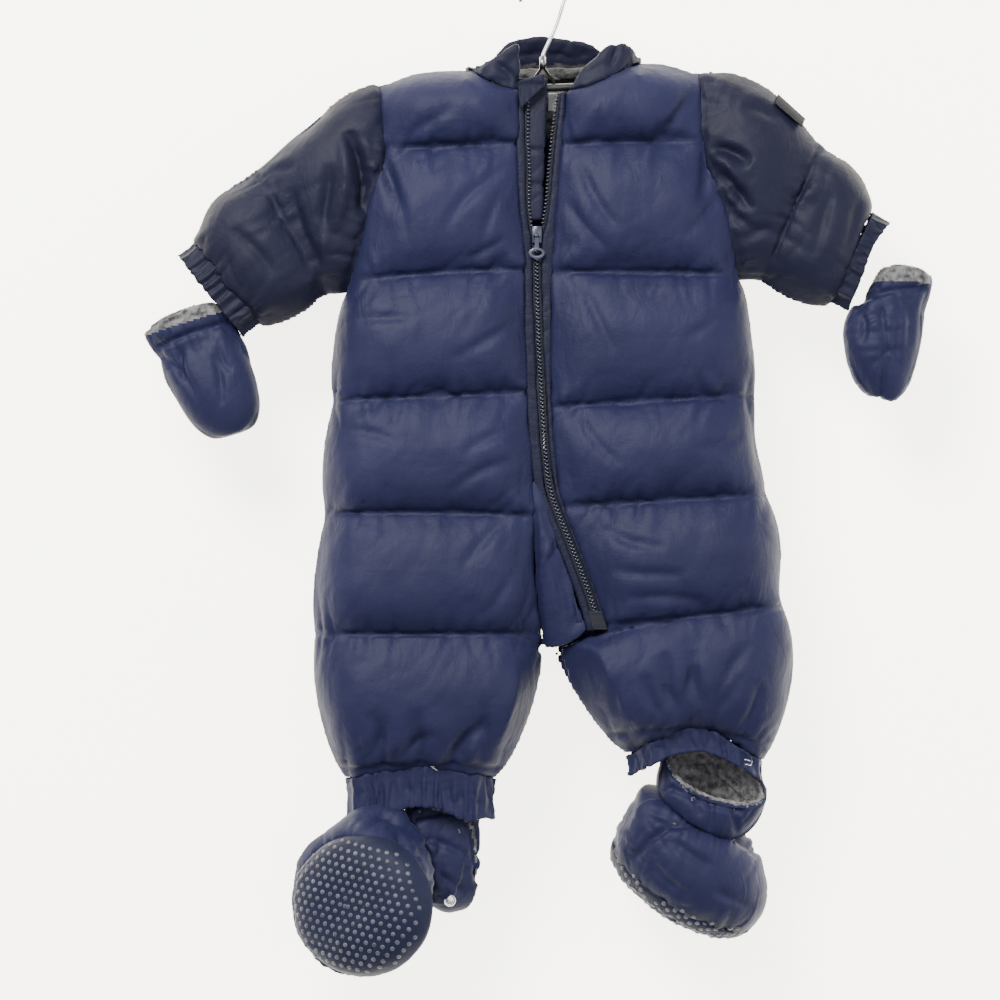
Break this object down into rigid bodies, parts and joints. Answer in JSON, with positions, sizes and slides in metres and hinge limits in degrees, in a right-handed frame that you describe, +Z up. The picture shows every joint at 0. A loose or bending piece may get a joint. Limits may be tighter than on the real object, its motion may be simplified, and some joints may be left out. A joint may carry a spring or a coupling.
{
  "type": "baby snowsuit on a clothes hanger",
  "caption": "Padded, horizontally quilted one-piece snowsuit with a front zip, hood, mittens and booties, hung open-necked on a wire-hooked bar.",
  "frame": {"origin": "the inside of the top of the hanger's hook, where a rod or wall hook carries it", "axes": "+Z up, -Y towards the viewer from the garment's front, +X towards the wearer's left"},
  "size_m": [0.5964, 0.1479, 0.7581],
  "materials": {
    "shell_navy": "semi-matte woven polyester, padded",
    "shell_dark_navy": "semi-matte woven polyester, darker",
    "fleece_grey": "mottled grey fleece",
    "grip_sole": "dark cloth with grey rubber grip dots",
    "black_plastic": "satin black",
    "steel_wire": "plated, dull",
    "zip_metal": "dark blue-grey enamel",
    "label_cloth": "plain woven tape"
  },
  "bodies": {
    "suit_on_hanger": {"front_right": "shell_navy", "back_right": "shell_navy", "front_left": "shell_navy", "back_left": "shell_navy", "sleeve_right": "shell_dark_navy", "sleeve_left": "shell_dark_navy", "cuff_right": "shell_dark_navy", "cuff_left": "shell_dark_navy", "leg_cuff_right": "shell_navy", "leg_cuff_left": "shell_navy", "mitten_right": "shell_dark_navy", "mitten_lining_right": "fleece_grey", "mitten_left": "shell_dark_navy", "mitten_lining_left": "fleece_grey", "bootie_upper_right": "shell_navy", "bootie_sole_right": "grip_sole", "bootie_shaft_right": "shell_navy", "bootie_lining_right": "fleece_grey", "bootie_upper_left": "shell_navy", "bootie_sole_left": "grip_sole", "bootie_shaft_left": "shell_navy", "bootie_lining_left": "fleece_grey", "hood_right": "shell_dark_navy", "hood_centre": "shell_dark_navy", "hood_left": "shell_dark_navy", "neck_lining": "fleece_grey", "neck_label": "label_cloth", "sleeve_patch": "black_plastic", "placket_right": "shell_dark_navy", "placket_left": "shell_dark_navy", "zip_tape_right": "shell_dark_navy", "zip_tape_left": "shell_dark_navy", "zip_end_patch": "shell_dark_navy", "zip_guard": "shell_dark_navy", "crotch_gusset": "shell_navy", "zip_slider": "zip_metal", "bootie_snap_right": "steel_wire", "hanger_hook": "steel_wire", "hanger_bar": "black_plastic"},
    "zip_pull": {"zip_pull": "zip_metal"}
  },
  "joints": [
    {"name": "zip_pull_hinge", "type": "hinge", "parent": "suit_on_hanger", "child": "zip_pull", "pos_m": [-0.0047, -0.02495, -0.203], "axis": [-1, 0, 0], "range_deg": [0, 150]}
  ]
}
